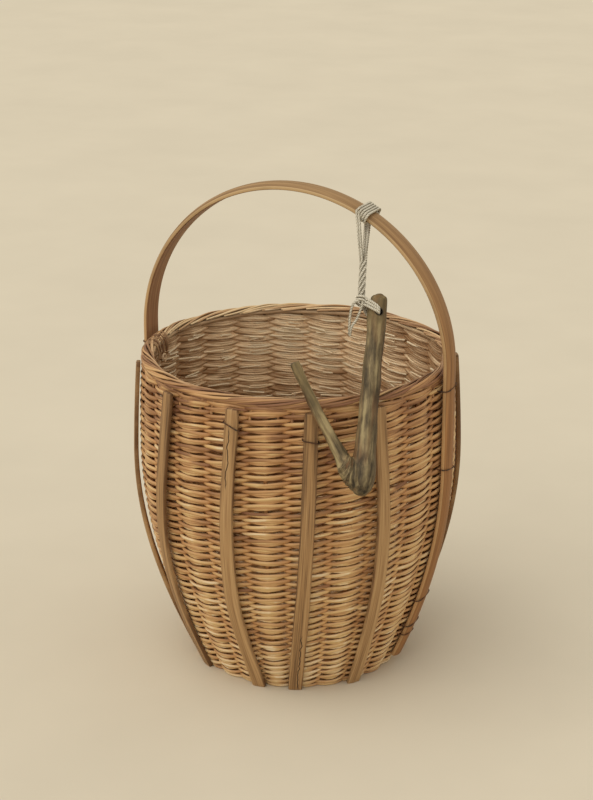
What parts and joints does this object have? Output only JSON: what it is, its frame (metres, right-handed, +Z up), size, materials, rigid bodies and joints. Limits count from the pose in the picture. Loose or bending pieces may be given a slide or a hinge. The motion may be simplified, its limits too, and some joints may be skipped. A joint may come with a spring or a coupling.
{
  "type": "apple picking basket",
  "caption": "Round woven willow picking basket in a cage of bent wooden splints, with a bentwood carrying handle and a forked branch hook tied to it on a cord",
  "frame": {"origin": "centre of the underside of the base, on the floor", "axes": "+Z up through the mouth, +X along the span of the handle towards the leg beside the hook, -Y towards the side the hook hangs over"},
  "size_m": [0.3466, 0.3347, 0.4979],
  "materials": {
    "willow": "weathered",
    "willow_dark": "weathered",
    "splint": "weathered",
    "branch": "worn smooth",
    "cord": "twisted fibre",
    "wire": "dull"
  },
  "bodies": {
    "basket": {"side_weave_foot": "willow", "side_weave_belly": "willow", "side_weave_top": "willow", "base_weave": "willow", "rim_border": "willow_dark", "stake_1": "willow_dark", "stake_2": "willow_dark", "stake_3": "willow_dark", "stake_4": "willow_dark", "stake_5": "willow_dark", "stake_6": "willow_dark", "stake_7": "willow_dark", "stake_8": "willow_dark", "stake_9": "willow_dark", "stake_10": "willow_dark", "stake_11": "willow_dark", "stake_12": "willow_dark", "stake_13": "willow_dark", "stake_14": "willow_dark", "stake_15": "willow_dark", "stake_16": "willow_dark", "stake_17": "willow_dark", "stake_18": "willow_dark", "stake_19": "willow_dark", "stake_20": "willow_dark", "stake_21": "willow_dark", "stake_22": "willow_dark", "stake_23": "willow_dark", "stake_24": "willow_dark", "base_stick_pierced_1": "willow_dark", "base_stick_pierced_2": "willow_dark", "base_stick_pierced_3": "willow_dark", "base_stick_through_1": "willow_dark", "base_stick_through_2": "willow_dark", "base_stick_through_3": "willow_dark", "handle": "splint", "stave_1": "splint", "stave_2": "splint", "stave_3": "splint", "stave_4": "splint", "stave_5": "splint", "stave_7": "splint", "stave_8": "splint", "stave_9": "splint", "stave_10": "splint", "stave_11": "splint", "cord_bar_winding": "cord", "wire_tie_1": "wire", "wire_tie_2": "wire", "wire_tie_3": "wire", "wire_tie_4": "wire", "wire_tie_5": "wire", "wire_tie_6": "wire", "wire_tie_7": "wire", "wire_tie_8": "wire"},
    "sling": {"cord_sling": "cord"},
    "hook": {"hook": "branch", "cord_knot": "cord", "cord_hook_loop": "cord", "cord_tail": "cord"}
  },
  "joints": [
    {"name": "sling_swing", "type": "hinge", "parent": "basket", "child": "sling", "pos_m": [0.07296, 0, 0.47594], "axis": [-0.9337, -0.3581, 0], "range_deg": [0, 140]},
    {"name": "hook_swing", "type": "hinge", "parent": "sling", "child": "hook", "pos_m": [0.09599, -0.06004, 0.40626], "axis": [-0.766, -0.6428, 0], "range_deg": [0, 85]}
  ]
}
